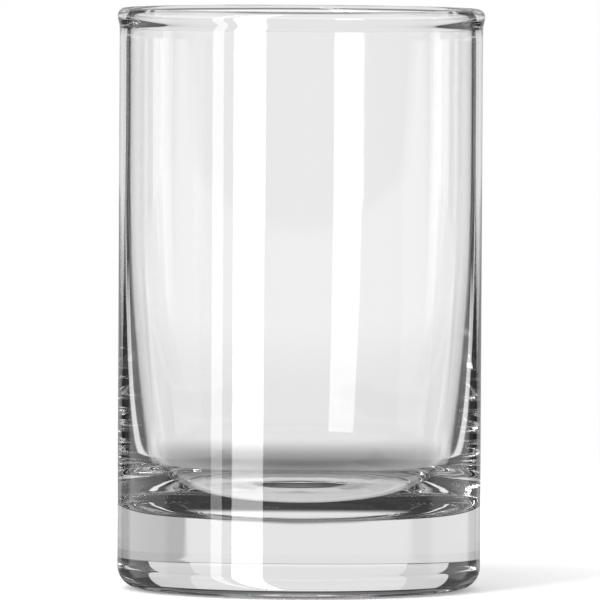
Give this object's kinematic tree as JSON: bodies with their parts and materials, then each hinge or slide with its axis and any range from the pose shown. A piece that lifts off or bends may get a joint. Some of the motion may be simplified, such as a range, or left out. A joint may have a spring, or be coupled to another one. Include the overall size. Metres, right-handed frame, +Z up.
{
  "type": "highball glass",
  "caption": "Straight-sided clear glass tumbler with a thick solid base, rounded rim bead and a flat foot, for drinks.",
  "frame": {"origin": "middle of the foot, on the surface that the glass stands on", "axes": "+Z up along the axis of the round body, from the foot to the rim; the body is round, so X and Y are free"},
  "size_m": [0.0602, 0.0602, 0.095],
  "materials": {
    "clear_glass": "clear fire-polished soda-lime glass"
  },
  "bodies": {
    "root": {"glass_body": "clear_glass"}
  },
  "joints": []
}
